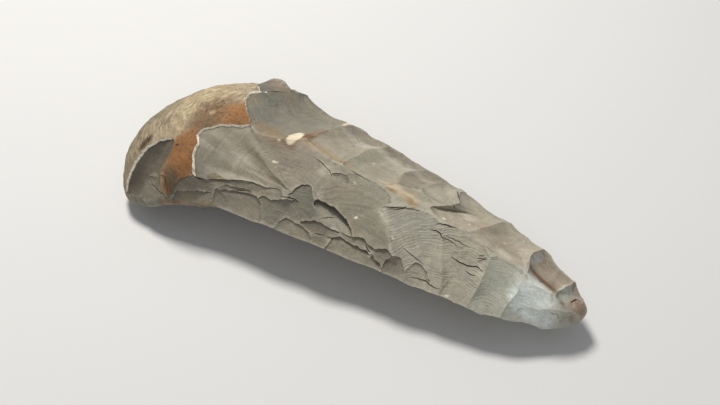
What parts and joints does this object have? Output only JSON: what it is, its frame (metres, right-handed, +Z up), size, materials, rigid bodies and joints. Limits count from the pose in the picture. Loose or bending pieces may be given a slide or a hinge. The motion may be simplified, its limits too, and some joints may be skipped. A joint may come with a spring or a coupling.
{
  "type": "stone hand axe",
  "caption": "Pointed flint hand axe, flaked on both faces, with the nodule's rind left on its rounded butt. It lies on a small flat.",
  "frame": {"origin": "on the small flat resting face of the lower face, below the thick part of the stone", "axes": "+X runs along the axe from the butt to the point, +Y towards the far edge, +Z up from the resting face"},
  "size_m": [0.2145, 0.0884, 0.0462],
  "materials": {
    "flint": "matt flaked flint, smooth to satin, with a rough weathered rind on the butt"
  },
  "bodies": {
    "root": {"hand_axe": "flint"}
  },
  "joints": []
}
